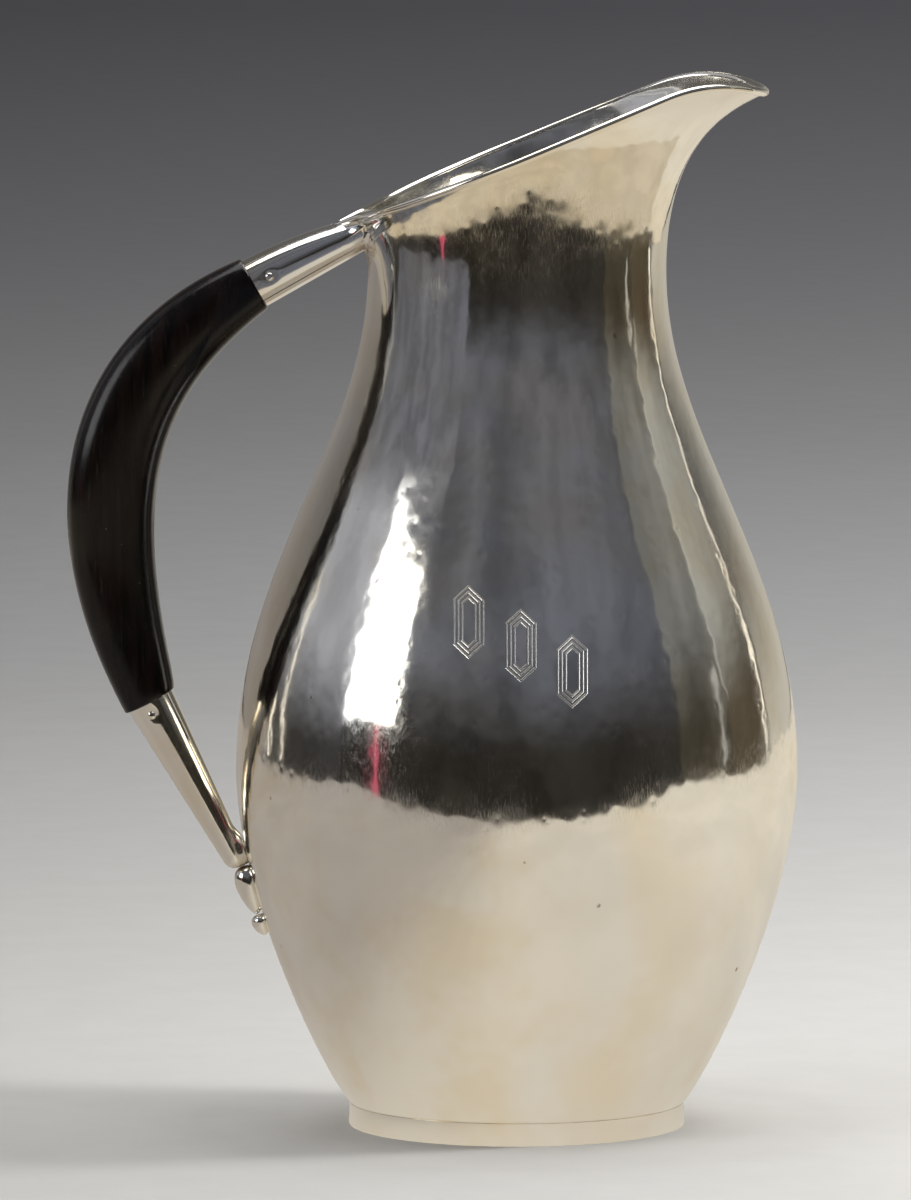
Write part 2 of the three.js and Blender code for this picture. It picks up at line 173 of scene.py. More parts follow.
def cubic(a, b, c, d, t):
    s = 1 - t
    return s * s * s * a + 3 * s * s * t * b + 3 * s * t * t * c + t * t * t * d


def outline(station):
    """Radius and level of the round part: 0 to 1 is foot to belly, 1 to 2 is belly to neck."""
    if station <= 1:
        r = cubic(SEAT_R, SEAT_R + SEAT_PULL * math.sin(SEAT_ANGLE), BELLY_R, BELLY_R, station)
        pull = SEAT_Z + SEAT_PULL * math.cos(SEAT_ANGLE)
        z = cubic(SEAT_Z, pull, BELLY_Z - BELLY_PULL_DOWN, BELLY_Z, station)
        return r, z
    r = cubic(BELLY_R, BELLY_R, NECK_R, NECK_R, station - 1)
    z = cubic(BELLY_Z, BELLY_Z + BELLY_PULL_UP, NECK_Z - NECK_PULL, NECK_Z, station - 1)
    return r, z


def lip_height(x):
    climb = NECK_Z + LIP_BACK_RISE + LIP_SLOPE * (x + LIP_R)
    along = max(0.0, (x - DIP_START_X) / (SPOUT_X - DIP_START_X))
    return climb - SPOUT_DIP * along * along


def lip_point(turn):
    """The mouth's line: egg-shaped, with a short pointed tail over the upper socket."""
    front = math.cos(turn) > 0
    x = (SPOUT_X if front else LIP_R) * math.cos(turn)
    y = LIP_R * math.sin(turn)
    if front:
        y *= 1 + SPOUT_BROAD * math.cos(turn) ** 2
    else:
        x -= TAIL_L * math.exp(-((abs(y) / TAIL_HALF) ** TAIL_POINT))
    return Vector((x, y, lip_height(x)))


def vessel_point(turn, station):
    if station <= 2:
        r, z = outline(station)
        return Vector((r * math.cos(turn), r * math.sin(turn), z))
    lip = lip_point(turn)
    start = Vector((NECK_R * math.cos(turn), NECK_R * math.sin(turn), NECK_Z))
    t = station - 2
    out = cubic(0, 0, FLARE_OUT, 1, t)
    rise = cubic(0, FLARE_HOLD, FLARE_RISE, 1, t)
    return Vector((
        start.x + (lip.x - start.x) * out,
        start.y + (lip.y - start.y) * out,
        start.z + (lip.z - start.z) * rise,
    ))


def vessel_frame(turn, station):
    """Direction up the vessel and the outward normal at one place."""
    small = 1e-3
    up = vessel_point(turn, min(3, station + small)) - vessel_point(turn, max(0, station - small))
    along = vessel_point(turn + small, station) - vessel_point(turn - small, station)
    up.normalize()
    return up, along.cross(up).normalized()


def crowded(j, count):
    """The turn of the j-th line up the vessel, and how much its ring is drawn out so that the
    smoothed surface keeps its radius."""
    u = 2 * math.pi * j / count
    step = 2 * math.pi / count * (1 + BACK_CROWDING * math.cos(u))
    return u + BACK_CROWDING * math.sin(u), 3 / (2 + math.cos(step))


def vessel_ring(station):
    ring = []
    for j in range(ROUND):
        turn, drawn = crowded(j, ROUND)
        p = vessel_point(turn, station)
        ring.append(at(p.x * drawn, p.y * drawn, p.z))
    return ring


# ---------------------------------------------------------------- bench work

def clear_bench():
    if bpy.context.object and bpy.context.object.mode != "OBJECT":
        bpy.ops.object.mode_set(mode="OBJECT")
    bpy.ops.object.select_all(action="DESELECT")


def named(name):
    obj = bpy.context.object
    obj.name = name
    obj.data.name = name
    return obj


def drawn_out(name, rings, last_closed=True):
    """A round blank drawn out ring by ring: a circle is extruded, and each new edge ring is placed."""
    clear_bench()
    count = len(rings[0])
    bpy.ops.mesh.primitive_circle_add(vertices=count, radius=MM, location=(0, 0, 0))
    obj = named(name)
    bpy.ops.object.mode_set(mode="EDIT")
    bm = bmesh.from_edit_mesh(obj.data)
    bm.verts.ensure_lookup_table()
    order = list(range(count))
    for j, place in zip(order, rings[0]):
        bm.verts[j].co = place
    for ring in rings[1:]:
        bpy.ops.mesh.extrude_edges_move()
        bm = bmesh.from_edit_mesh(obj.data)
        bm.verts.ensure_lookup_table()
        fresh = []
        for j in order:
            across = [e.other_vert(bm.verts[j]) for e in bm.verts[j].link_edges]
            fresh.append(next(v.index for v in across if v.select))
        order = fresh
        for j, place in zip(order, ring):
            bm.verts[j].co = place
    bmesh.update_edit_mesh(obj.data)
    if last_closed:
        bpy.ops.mesh.edge_face_add()
    bpy.ops.mesh.select_all(action="DESELECT")
    bm = bmesh.from_edit_mesh(obj.data)
    bm.verts.ensure_lookup_table()
    for j in range(count):
        bm.verts[j].select = True
    bm.select_flush(True)
    bmesh.update_edit_mesh(obj.data)
    bpy.ops.mesh.edge_face_add()
    bpy.ops.mesh.select_all(action="SELECT")
    bpy.ops.mesh.normals_make_consistent(inside=False)
    bpy.ops.object.mode_set(mode="OBJECT")
    return obj


def modified(obj, kind, **settings):
    clear_bench()
    bpy.context.view_layer.objects.active = obj
    obj.select_set(True)
    modifier = obj.modifiers.new(kind.lower(), kind)
    for key, value in settings.items():
        setattr(modifier, key, value)
    bpy.ops.object.modifier_apply(modifier=modifier.name)


def smooth(obj, angle=None):
    clear_bench()
    bpy.context.view_layer.objects.active = obj
    obj.select_set(True)
    if angle is None:
        bpy.ops.object.shade_smooth()
    else:
        bpy.ops.object.shade_smooth_by_angle(angle=math.radians(angle))


def faced_out(obj, inside_point):
    """The open shell's faces are turned outwards, away from a point inside it."""
    face = obj.data.polygons[0]
    if face.normal.dot(face.center - inside_point) < 0:
        clear_bench()
        bpy.context.view_layer.objects.active = obj
        obj.select_set(True)
        bpy.ops.object.mode_set(mode="EDIT")
        bpy.ops.mesh.select_all(action="SELECT")
        bpy.ops.mesh.flip_normals()
        bpy.ops.object.mode_set(mode="OBJECT")


def tree_of(obj):
    bm = bmesh.new()
    bm.from_mesh(obj.data)
    tree = BVHTree.FromBMesh(bm)
    bm.free()
    return tree


def hammered(obj, depth, size):
    """Shallow hollows that the planishing hammer left, only ever inwards."""
    marks = bpy.data.textures.new(obj.name + "_marks", "CLOUDS")
    marks.noise_scale = size * MM
    marks.noise_depth = 1
    modified(obj, "DISPLACE", texture=marks, texture_coords="LOCAL", strength=depth * MM, mid_level=1.0)


# ---------------------------------------------------------------- pieces

def raise_vessel():
    stations = [i / LOW_STEPS for i in range(LOW_STEPS)]
    stations += [1 + i / HIGH_STEPS for i in range(HIGH_STEPS)]
    stations += [2 + i / MOUTH_STEPS for i in range(MOUTH_STEPS + 1)]
    rings = [vessel_ring(s) for s in stations]
    floor = []
    for share in FLOOR_SHARES:
        floor.append([at(*(local(p).x * share, local(p).y * share, SEAT_Z)) for p in rings[0]])
    vessel = drawn_out("vessel", floor + rings, last_closed=False)
    faced_out(vessel, at(0, 0, SEAT_Z + 1))
    modified(vessel, "SOLIDIFY", thickness=WALL * MM, offset=-1.0, use_even_offset=True)
    modified(vessel, "SUBSURF", levels=2, render_levels=2)
    outside = tree_of(vessel)
    hammered(vessel, HAMMER_DEPTH, HAMMER_SIZE)
    smooth(vessel)
    return vessel, outside


def turn_foot_ring():
    """The section is a plate stood on edge, its corners eased, spun round the axis."""
    clear_bench()
    bpy.ops.mesh.primitive_plane_add(size=1, location=(0, 0, 0))
    ring = named("foot_ring_turned")
    bpy.ops.object.mode_set(mode="EDIT")
    bm = bmesh.from_edit_mesh(ring.data)
    for v in bm.verts:
        high = v.co.y > 0
        outer = v.co.x > 0
        r = (FOOT_TOP_R if high else FOOT_R) - (0 if outer else FOOT_BAND)
        v.co = at(r, 0, FOOT_TOP_Z if high else 0)
        v.select = not (high and outer)
    bmesh.update_edit_mesh(ring.data)
    bpy.ops.mesh.bevel(offset=FOOT_EDGE * MM, segments=4, affect="VERTICES")
    bpy.ops.mesh.select_all(action="SELECT")
    bpy.ops.mesh.spin(steps=180, angle=2 * math.pi, center=AXIS, axis=(0, 0, 1))
    bm = bmesh.from_edit_mesh(ring.data)
    flat = [f for f in bm.faces if len(f.verts) > 4]
    bmesh.ops.delete(bm, geom=flat, context="FACES_ONLY")
    bmesh.update_edit_mesh(ring.data)
    bpy.ops.mesh.select_all(action="SELECT")
    bpy.ops.mesh.remove_doubles(threshold=0.01 * MM)
    bpy.ops.mesh.normals_make_consistent(inside=False)
    bpy.ops.object.mode_set(mode="OBJECT")
    smooth(ring, 35)
    return ring


def bend_lip_wire():
    """A round wire, thinner where it runs out over the upper socket."""
    curve = bpy.data.curves.new("lip_wire", "CURVE")
    curve.dimensions = "3D"
    curve.bevel_depth = WIRE_R * MM
    curve.bevel_resolution = 4
    spline = curve.splines.new("POLY")
    spline.points.add(WIRE_POINTS - 1)
    spline.use_cyclic_u = True
    for j in range(WIRE_POINTS):
        turn, _ = crowded(j, WIRE_POINTS)
        up, out = vessel_frame(turn, 3)
        p = lip_point(turn) - out * (WALL / 2 - WIRE_OUT * abs(math.sin(turn))) - up * WIRE_LOW
        tail = max(0.0, (-LIP_R - p.x) / TAIL_L)
        spline.points[j].co = (*at(p.x, p.y, p.z - WIRE_TAIL_LOW * tail), 1)
        fuller = WIRE_FULLER * max(0.0, p.x / SPOUT_X) ** 2
        spline.points[j].radius = 1 - WIRE_TAIL_THIN * tail + fuller
    wire = bpy.data.objects.new("lip_wire", curve)
    bpy.context.scene.collection.objects.link(wire)
    clear_bench()
    bpy.context.view_layer.objects.active = wire
    wire.select_set(True)
    bpy.ops.object.convert(target="MESH")
    wire = bpy.context.object
    smooth(wire)
    return wire


def seat_at(z):
    """The place on the handle's side of the belly at a level, with its up and out directions."""
    low, high = 0.0, 2.0
    for _ in range(30):
        half = (low + high) / 2
        low, high = (half, high) if outline(half)[1] < z else (low, half)
    up, out = vessel_frame(math.pi, low)
    return vessel_point(math.pi, low), up, out


UPPER_LIP_END = Vector((-LIP_R, 0, NECK_Z + LIP_BACK_RISE - UPPER_SINK))
UPPER_GRIP_END = UPPER_LIP_END + UPPER_AXIS * UPPER_L
LOWER_SEAT, LOWER_UP, LOWER_OUT = seat_at(LOWER_JOINT_Z)
LOWER_TIP = LOWER_SEAT + LOWER_OUT * (LOWER_R_TIP - LOWER_BITE)
LOWER_GRIP_END = LOWER_TIP + LOWER_AXIS * LOWER_L


SOLDER_REACH = 1.9                # the widest gap that solder has filled beside the lower socket
SOLDER_START = (12, 6)            # distances from its tip between which the solder comes in
SOLDER_SINK = 0.08                # how far the filled side lies inside the belly's surface
TIP_ROUND = 2.2                   # length over which the lower socket's tip is drawn in
TIP_DRAWN = 0.3
TIP_CAPS = ((0.93, 0.12), (0.75, 0.2))  # share of the tip's width, and how far below it

# The upper socket's top line bends from the grip's end to run level with the mouth: x, and how far
# each of its points stands over the lip's own line.
TOP_LINE = ((-52.5, 1.0), (-46.5, 1.0), (-38.5, 0.1))
UNDER_R = 5.4                     # from its axis to its underside, at the neck
UPPER_SPREAD = 0.7                # how much wider it is at the neck
UPPER_SQUARENESS = 0.16           # how much squarer its section is there
UPPER_REACH = 1.35                # its drawing lines run on to this multiple of its length
UPPER_RUN_ON = 20                 # how far its top line moves on for each further length

# Its end is hammered out on to the neck: none on top, longest at the sides as two wings that run
# round under the lip, and a short lap underneath.
WING_RISE = (12, 52)              # degrees from its top between which a wing grows
WING_FADE = (76, 148)             # degrees between which it fades again
WING_FADE_SHARE = 0.93
WING_TURN = 0.95                  # how far each wing runs round
WING_STATION = 2.9                # where it ends: 2 is the neck, 3 the lip
WING_DROP = 0.06                  # how much lower the lap underneath ends
WING_ROOT = 0.45                  # how far it stands off the neck at the bend
WING_EDGE = 0.12                  # and at its edge
BEND_SHORT = 0.5                  # length of tube given up to the bend, on top
BEND_LONG = 5.2                   # and at the sides
BEND_UNDER = 0.55                 # share of it that is not needed underneath


def eased(value, low, high):
    """0 at low, 1 at high, whichever of the two is the larger."""
    t = max(0.0, min(1.0, (value - low) / (high - low)))
    return t * t * (3 - 2 * t)


def dimpled(place, pin):
    """A place on a socket, pressed in where it lies close to a pin's head."""
    head = local(middle(pin))
    offset = place - head
    around = math.hypot(offset.x, offset.z)
    press = DIMPLE_DEPTH * math.exp(-((around / DIMPLE_R) ** 4))
    return place - ACROSS * math.copysign(press, offset.y)


def draw_upper_socket(outside):
    """A tapered tube whose top runs level with the mouth. Its end is hammered out on to the neck."""
    count, lengths, bend_steps, wing_steps = 96, 26, 8, 16
    side = Vector((UPPER_AXIS.z, 0, -UPPER_AXIS.x))  # up, square to the tube
    top_points = [UPPER_GRIP_END + side * UPPER_R]
    top_points += [Vector((x, 0, lip_height(x) + over)) for x, over in TOP_LINE]
    low_start = UPPER_GRIP_END - side * UPPER_R
    low_end = UPPER_LIP_END - side * UNDER_R

    def line_place(angle, q):
        """A place on the tube: q is 0 at the grip's end and 1 at the lip."""
        t = min(q, 1.0)
        top = Vector(tuple(cubic(*(p[k] for p in top_points), t) for k in range(3)))
        if q > 1:
            top += Vector((UPPER_RUN_ON, 0, 0)) * (q - 1)
        low = low_start.lerp(low_end, q)
        centre = (top + low) / 2
        width = UPPER_R + UPPER_SPREAD * t * t
        c = math.cos(angle)
        s = math.sin(angle)
        power = 1 - UPPER_SQUARENESS * t * t
        return (
            centre
            + (top - centre) * math.copysign(abs(c) ** power, c)
            + ACROSS * width * math.copysign(abs(s) ** power, s)
        )

    def reach_of(angle):
        """How far a line runs before it meets the neck."""
        previous = line_place(angle, 0)
        q = 0.0
        while q < UPPER_REACH:
            q += 0.01
            place = line_place(angle, q)
            step = place - previous
            hit = outside.ray_cast(at(*previous), step.normalized(), step.length * MM * 1.001)
            if hit[0] is not None:
                return q
            previous = place
        return UPPER_REACH

    def station_at(turn, z):
        """Where the neck reaches a level."""
        low, high = 2.0, 3.0
        for _ in range(24):
            half = (low + high) / 2
            low, high = (half, high) if vessel_point(turn, half).z < z else (low, half)
        return low

    def whole_line(angle, end):
        """One line from the grip's end along the tube, round the bend and out along the wing."""
        bend = line_place(angle, end)
        hand = math.copysign(1.0, math.sin(angle))
        from_top = math.degrees(math.acos(max(-1.0, min(1.0, math.cos(angle)))))
        rise = eased(from_top, *WING_RISE)
        fall = eased(from_top, *WING_FADE)
        wing = rise * (1 - WING_FADE_SHARE * fall)
        turn = math.pi * hand if abs(bend.y) < 1e-6 else math.atan2(bend.y, bend.x)
        station = station_at(turn, bend.z)
        end_turn = turn - hand * WING_TURN * wing
        end_station = station + (WING_STATION - station) * wing - WING_DROP * fall

        def wing_place(u):
            s = station + (end_station - station) * u ** 0.8
            t = turn + (end_turn - turn) * u
            _, out = vessel_frame(t, s)
            stand = (WING_ROOT * (1 - u) ** 2 + WING_EDGE) * rise
            return vessel_point(t, s) + out * stand

        bend_length = BEND_SHORT + BEND_LONG * rise * (1 - BEND_UNDER * fall)
        stop = end - bend_length / UPPER_L
        begin = line_place(angle, stop)
        join = 0.25 * rise + 0.05
        land = wing_place(join)
        line = [dimpled(line_place(angle, stop * i / lengths), "upper_pin") for i in range(lengths + 1)]
        for i in range(1, bend_steps + 1):
            t = i / bend_steps
            line.append(begin * (1 - t) ** 2 + bend * 2 * t * (1 - t) + land * t * t)
        line += [wing_place(join + (1 - join) * i / wing_steps) for i in range(1, wing_steps + 1)]
        _, out = vessel_frame(end_turn, end_station)
        line.append(line[-1] - out * 0.5)
        return [at(*place) for place in line]

    angles = [2 * math.pi * j / count for j in range(count)]
    ends = [reach_of(angle) for angle in angles]
    for _ in range(3):
        ends = [(ends[j - 1] + ends[j] * 2 + ends[(j + 1) % count]) / 4 for j in range(count)]
    lines = [whole_line(angle, end) for angle, end in zip(angles, ends)]
    socket = drawn_out("upper_socket_silver", list(zip(*lines)))
    smooth(socket, 50)
    return socket


def draw_lower_socket(outside):
    """A straight tapered tube, cut level with the belly at its tip and soldered to it near there."""
    count, lengths = 80, 48
    side = Vector((LOWER_AXIS.z, 0, -LOWER_AXIS.x))
    rings = []
    for i in range(lengths + 1):
        t = i / lengths
        distance = LOWER_L * (1 - t)
        r = LOWER_R_TIP + (LOWER_R_GRIP - LOWER_R_TIP) * (1 - t)
        r *= 1 - TIP_DRAWN * max(0.0, 1 - distance / TIP_ROUND) ** 2
        ring = []
        for j in range(count):
            angle = 2 * math.pi * j / count
            place = LOWER_TIP + LOWER_AXIS * distance
            place = place + side * r * math.cos(angle) + ACROSS * r * math.sin(angle)
            under = (LOWER_SEAT - place).dot(LOWER_UP)
            if under > 0:
                place += LOWER_AXIS * under / LOWER_AXIS.dot(LOWER_UP)
            world = at(*dimpled(place, "lower_pin"))
            surface, normal = outside.find_nearest(world)[:2]
            gap = (world - surface).dot(normal) / MM
            filled = eased(gap, SOLDER_REACH, SOLDER_REACH * 0.35) * eased(distance, *SOLDER_START)
            if math.cos(angle) * side.dot(LOWER_OUT) < 0:
                world = world - normal * (gap + SOLDER_SINK) * filled * MM * abs(math.cos(angle)) ** 0.5
            ring.append(world)
        rings.append(ring)
    foot = rings[-1]
    centre = sum(foot, Vector()) / count
    for share, below in TIP_CAPS:
        rings.append([centre + (p - centre) * share - LOWER_UP * below * MM for p in foot])
    socket = drawn_out("lower_socket_silver", rings)
    smooth(socket, 50)
    return socket


def carve_grip():
    """An ebony bar with squared shoulders, bowed from one socket to the other."""
    count, lengths = 72, 64
    top = UPPER_GRIP_END + UPPER_AXIS * GAP * 0.4
    foot = LOWER_GRIP_END + LOWER_AXIS * GAP * 0.4
    lean = Vector((-math.sin(GRIP_LEAN), 0, math.cos(GRIP_LEAN)))
    pulls = (top, top + UPPER_AXIS * GRIP_PULL_UPPER, foot + lean * GRIP_PULL_LOWER, foot)

    def spine(t):
        return Vector(tuple(cubic(*(p[k] for p in pulls), t) for k in range(3)))

    fine = 600
    marks = [0.0]
    for i in range(fine):
        marks.append(marks[-1] + (spine((i + 1) / fine) - spine(i / fine)).length)

    def even(share):
        """The spine's own parameter at a share of its length."""
        want = share * marks[-1]
        i = max(k for k in range(fine + 1) if marks[k] <= want)
        if i == fine:
            return 1.0
        return (i + (want - marks[i]) / (marks[i + 1] - marks[i])) / fine

    def ring(share, shrink=0.0, set_in=0.0):
        t = even(share)
        small = 1e-3
        along = (spine(min(1, t + small)) - spine(max(0, t - small))).normalized()
        end_axis = UPPER_AXIS if share < 0.5 else -LOWER_AXIS
        square = max(0.0, 1 - min(share, 1 - share) / GRIP_SQUARE_END)
        along = along.lerp(end_axis, square).normalized()
        side = along.cross(ACROSS).normalized()
        swell = 4 * share * (1 - share)
        ends = GRIP_END_UPPER + (GRIP_END_LOWER - GRIP_END_UPPER) * share
        thick = (ends + GRIP_SWELL * swell) / 2 - shrink
        wide = (GRIP_WIDTH_ENDS + GRIP_WIDTH_SWELL * swell) / 2 - shrink
        centre = spine(t) + along * (set_in if share < 0.5 else -set_in)
        places = []
        power = 2 / GRIP_SQUARENESS
        for j in range(count):
            angle = 2 * math.pi * j / count
            c = math.cos(angle)
            s = math.sin(angle)
            places.append(at(*(
                centre
                + side * thick * math.copysign(abs(c) ** power, c)
                + ACROSS * wide * math.copysign(abs(s) ** power, s)
            )))
        return places

    edge = GRIP_EDGE
    eased_edge = edge * 0.3
    body = 1 - 2 * GRIP_SHOULDER
    rings = [ring(0, GRIP_CAP_IN), ring(0, edge), ring(0, eased_edge, eased_edge), ring(0, 0, edge)]
    rings += [ring(GRIP_SHOULDER + body * i / lengths) for i in range(lengths + 1)]
    rings += [ring(1, 0, edge), ring(1, eased_edge, eased_edge), ring(1, edge), ring(1, GRIP_CAP_IN)]
    grip = drawn_out("ebony_grip", rings)
    smooth(grip, 40)
    return grip


def form_drop(name, below, size, outside):
    """An egg of silver, fuller above, filed flat behind to sit on the belly."""
    length, radius, stand = size
    count, lengths = 48, 30
    want = below + length / 2
    seat = seat_at(LOWER_JOINT_Z - want)
    level = LOWER_JOINT_Z - want
    for _ in range(12):
        level += (seat[0] - LOWER_SEAT).length - want
        seat = seat_at(level)
    place, up, out = seat
    centre = place + out * stand
    rings = []
    for i in range(1, lengths):
        turn = math.pi * i / lengths
        full = radius * DROP_SLIM * math.sin(turn) ** DROP_BLUNT * (1 + DROP_FULLNESS * math.cos(turn))
        ring = []
        for j in range(count):
            angle = 2 * math.pi * j / count
            p = centre + up * (length / 2 * math.cos(turn))
            p = p + out * full * math.cos(angle) + ACROSS * full * math.sin(angle)
            world = at(*p)
            surface, normal = outside.find_nearest(world)[:2]
            depth = (world - surface).dot(normal)
            if depth < -DROP_SINK * MM:
                world = world - normal * (depth + DROP_SINK * MM)
            ring.append(world)
        rings.append(ring)
    drop = drawn_out(name, rings)
    smooth(drop, 60)
    return drop


def drive_pin(name, node, half):
    """A rivet across the handle: both heads are set down to low domes."""
    centre = middle(node)
    clear_bench()
    bpy.ops.mesh.primitive_cylinder_add(
        vertices=PIN_ROUND, radius=PIN_R * MM, depth=2 * half * MM,
        location=centre, rotation=(math.pi / 2, 0, 0),
    )
    pin = named(name)
    bpy.ops.object.transform_apply(location=True, rotation=True, scale=True)
    bpy.ops.object.mode_set(mode="EDIT")
    for way in (-1, 1):
        for ease, lift in PIN_DOME:
            bpy.ops.mesh.select_all(action="DESELECT")
            bm = bmesh.from_edit_mesh(pin.data)
            ends = [f for f in bm.faces if len(f.verts) == PIN_ROUND and f.normal.y * way > 0.9]
            cap = max(ends, key=lambda f: f.calc_center_median().y * way)
            cap.select = True
            bmesh.update_edit_mesh(pin.data)
            bpy.ops.mesh.inset(thickness=ease * MM, depth=0)
            bpy.ops.transform.translate(value=(0, way * lift * MM, 0))
    bpy.ops.object.mode_set(mode="OBJECT")
    smooth(pin, 60)
    return pin


# ---------------------------------------------------------------- finishes

def finish_nodes(name):
    material = bpy.data.materials.new(name)
    material.use_nodes = True
    shader = material.node_tree.nodes["Principled BSDF"]
    return material, Bench(material.node_tree), shader


class Bench:
    """Short words for wiring a finish."""

    def __init__(self, tree):
        self.tree = tree
        self.place = tree.nodes.new("ShaderNodeTexCoord").outputs["Object"]

    def node(self, kind, **settings):
        made = self.tree.nodes.new(kind)
        for key, value in settings.items():
            setattr(made, key, value)
        return made

    def join(self, source, target):
        self.tree.links.new(source, target)

    def split(self):
        """The place's own x, y and z."""
        made = self.node("ShaderNodeSeparateXYZ")
        self.join(self.place, made.inputs[0])
        return made.outputs

    def dimmed(self, tone, share):
        made = self.node("ShaderNodeVectorMath", operation="SCALE")
        self.join(tone, made.inputs[0])
        self.join(share, made.inputs["Scale"])
        return made.outputs[0]

    def scaled(self, x, y, z, turn=(0, 0, 0)):
        """The place, stretched and turned round the vessel's axis."""
        mapping = self.node("ShaderNodeMapping")
        mapping.inputs["Location"].default_value = tuple(-c for c in AXIS)
        mapping.vector_type = "POINT"
        self.join(self.place, mapping.inputs["Vector"])
        stretch = self.node("ShaderNodeMapping")
        stretch.inputs["Scale"].default_value = (x, y, z)
        stretch.inputs["Rotation"].default_value = turn
        self.join(mapping.outputs[0], stretch.inputs["Vector"])
        return stretch.outputs[0]

    def noise(self, scale, detail, roughness, where=None):
        made = self.node("ShaderNodeTexNoise")
        made.inputs["Scale"].default_value = scale
        made.inputs["Detail"].default_value = detail
        made.inputs["Roughness"].default_value = roughness
        self.join(where or self.place, made.inputs["Vector"])
        return made.outputs["Fac"]

    def cells(self, scale, feature, where=None):
        made = self.node("ShaderNodeTexVoronoi", feature=feature)
        made.inputs["Scale"].default_value = scale
        self.join(where or self.place, made.inputs["Vector"])
        return made.outputs["Distance"]

    def ramp(self, source, low, high, out_low=0.0, out_high=1.0):
        made = self.node("ShaderNodeMapRange")
        made.interpolation_type = "SMOOTHSTEP"
        made.inputs["From Min"].default_value = low
        made.inputs["From Max"].default_value = high
        made.inputs["To Min"].default_value = out_low
        made.inputs["To Max"].default_value = out_high
        self.join(source, made.inputs["Value"])
        return made.outputs["Result"]

    def math(self, operation, a, b=0.0):
        made = self.node("ShaderNodeMath", operation=operation)
        for socket, value in zip(made.inputs, (a, b)):
            if isinstance(value, (int, float)):
                socket.default_value = value
            else:
                self.join(value, socket)
        return made.outputs[0]

    def blend(self, share, a, b):
        made = self.node("ShaderNodeMix", data_type="RGBA")
        if isinstance(share, (int, float)):
            made.inputs[0].default_value = share
        else:
            self.join(share, made.inputs[0])
        for socket, value in zip((made.inputs[6], made.inputs[7]), (a, b)):
            if isinstance(value, tuple):
                socket.default_value = (*value, 1)
            else:
                self.join(value, socket)
        return made.outputs[2]

    def bump(self, height, depth, over=None):
        made = self.node("ShaderNodeBump")
        made.inputs["Strength"].default_value = 1.0
        made.inputs["Distance"].default_value = depth * MM
        self.join(height, made.inputs["Height"])
        if over is not None:
            self.join(over, made.inputs["Normal"])
        return made.outputs["Normal"]

    def close_to(self, point, near, far):
        """1 near a point, 0 past a distance from it."""
        away = self.node("ShaderNodeVectorMath", operation="DISTANCE")
        self.join(self.place, away.inputs[0])
        away.inputs[1].default_value = point
        return self.ramp(away.outputs["Value"], near * MM, far * MM, 1.0, 0.0)


SILVER = (0.955, 0.925, 0.845)
SILVER_WARM = (0.92, 0.845, 0.70)
SILVER_COOL = (0.93, 0.925, 0.90)
TARNISH_AND_SHADE = (0.30, 0.21, 0.11)


def silver_finish(name, facet=2.7, facet_depth=0.045, tarnish_and_shade_at_joins=(), engraving=False):
    """Polished, hand-planished silver: facets, fine upright scratches, a few tarnish specks."""
    material, b, shader = finish_nodes(name)
    shader.inputs["Metallic"].default_value = 1.0

    # warmer and cooler patches
    warm = b.ramp(b.noise(34, 3, 0.6), 0.42, 0.66)
    tone = b.blend(warm, SILVER, SILVER_WARM)
    cool = b.ramp(b.noise(21, 2, 0.5, b.scaled(1, 1, 0.35)), 0.5, 0.7, 0.0, 0.8)
    tone = b.blend(cool, tone, SILVER_COOL)

    # fine scratches, upright and crossing, fainter in places
    hairs = b.noise(1.0, 3, 0.65, b.scaled(9000, 9000, 520, (0.0, 0.05, 0.0)))
    crossing = b.noise(1.0, 2, 0.6, b.scaled(7000, 7000, 600, (0.0, -0.5, 0.3)))
    hair_lines = b.ramp(hairs, 0.5, 0.68)
    crossing_lines = b.ramp(crossing, 0.57, 0.72)
    wear = b.ramp(b.noise(46, 3, 0.6), 0.35, 0.65, 0.35, 1.0)
    lines = b.math("MULTIPLY", b.math("MAXIMUM", hair_lines, crossing_lines), wear)

    # a few specks of tarnish, and darkening round the joins where silver is soldered to silver, partly
    # tarnish and partly painted shade in the creases
    specks = b.ramp(b.cells(120, "F1"), 0.055, 0.085, 1.0, 0.0)
    rare = b.ramp(b.noise(52, 1, 0.5), 0.6, 0.64)
    specks = b.math("MULTIPLY", specks, rare)
    tone = b.blend(b.math("MULTIPLY", specks, 0.85), tone, TARNISH_AND_SHADE)
    tarnish_and_shade_mask = specks
    for point, near, far in tarnish_and_shade_at_joins:
        patchy = b.ramp(b.noise(420, 3, 0.7), 0.3, 0.62, 0.25, 1.0)
        join_tarnish_and_shade = b.math("MULTIPLY", b.close_to(point, near, far), patchy)
        tone = b.blend(b.math("MULTIPLY", join_tarnish_and_shade, 0.8), tone, TARNISH_AND_SHADE)
        tarnish_and_shade_mask = b.math("MAXIMUM", tarnish_and_shade_mask, join_tarnish_and_shade)

    rough = b.math("ADD", 0.07, b.math("MULTIPLY", lines, 0.15))
    rough = b.math("ADD", rough, b.ramp(b.noise(60, 3, 0.6), 0.4, 0.75, 0.0, 0.05))
    rough = b.math("ADD", rough, b.math("MULTIPLY", tarnish_and_shade_mask, 0.25))

    # hammer facets, slower waves, then the scratches
    facets = b.cells(1 / (facet * MM), "SMOOTH_F1", b.scaled(1, 1, 0.8))
    relief = b.bump(facets, facet_depth)
    relief = b.bump(b.noise(150, 1, 0.4), 0.03, relief)
    relief = b.bump(lines, 0.0004, relief)
    if engraving:
        cut = engraved_bars(b)
        relief = b.bump(cut, -0.12, relief)
        rough = b.math("ADD", rough, b.math("MULTIPLY", cut, 0.22))
        # The cut lines are also given a whiter colour: a painted highlight for the light that the cuts
        # catch.
        tone = b.blend(b.math("MULTIPLY", cut, 0.5), tone, (1.0, 0.97, 0.92))
    b.join(tone, shader.inputs["Base Color"])
    b.join(rough, shader.inputs["Roughness"])
    b.join(relief, shader.inputs["Normal"])
    return material


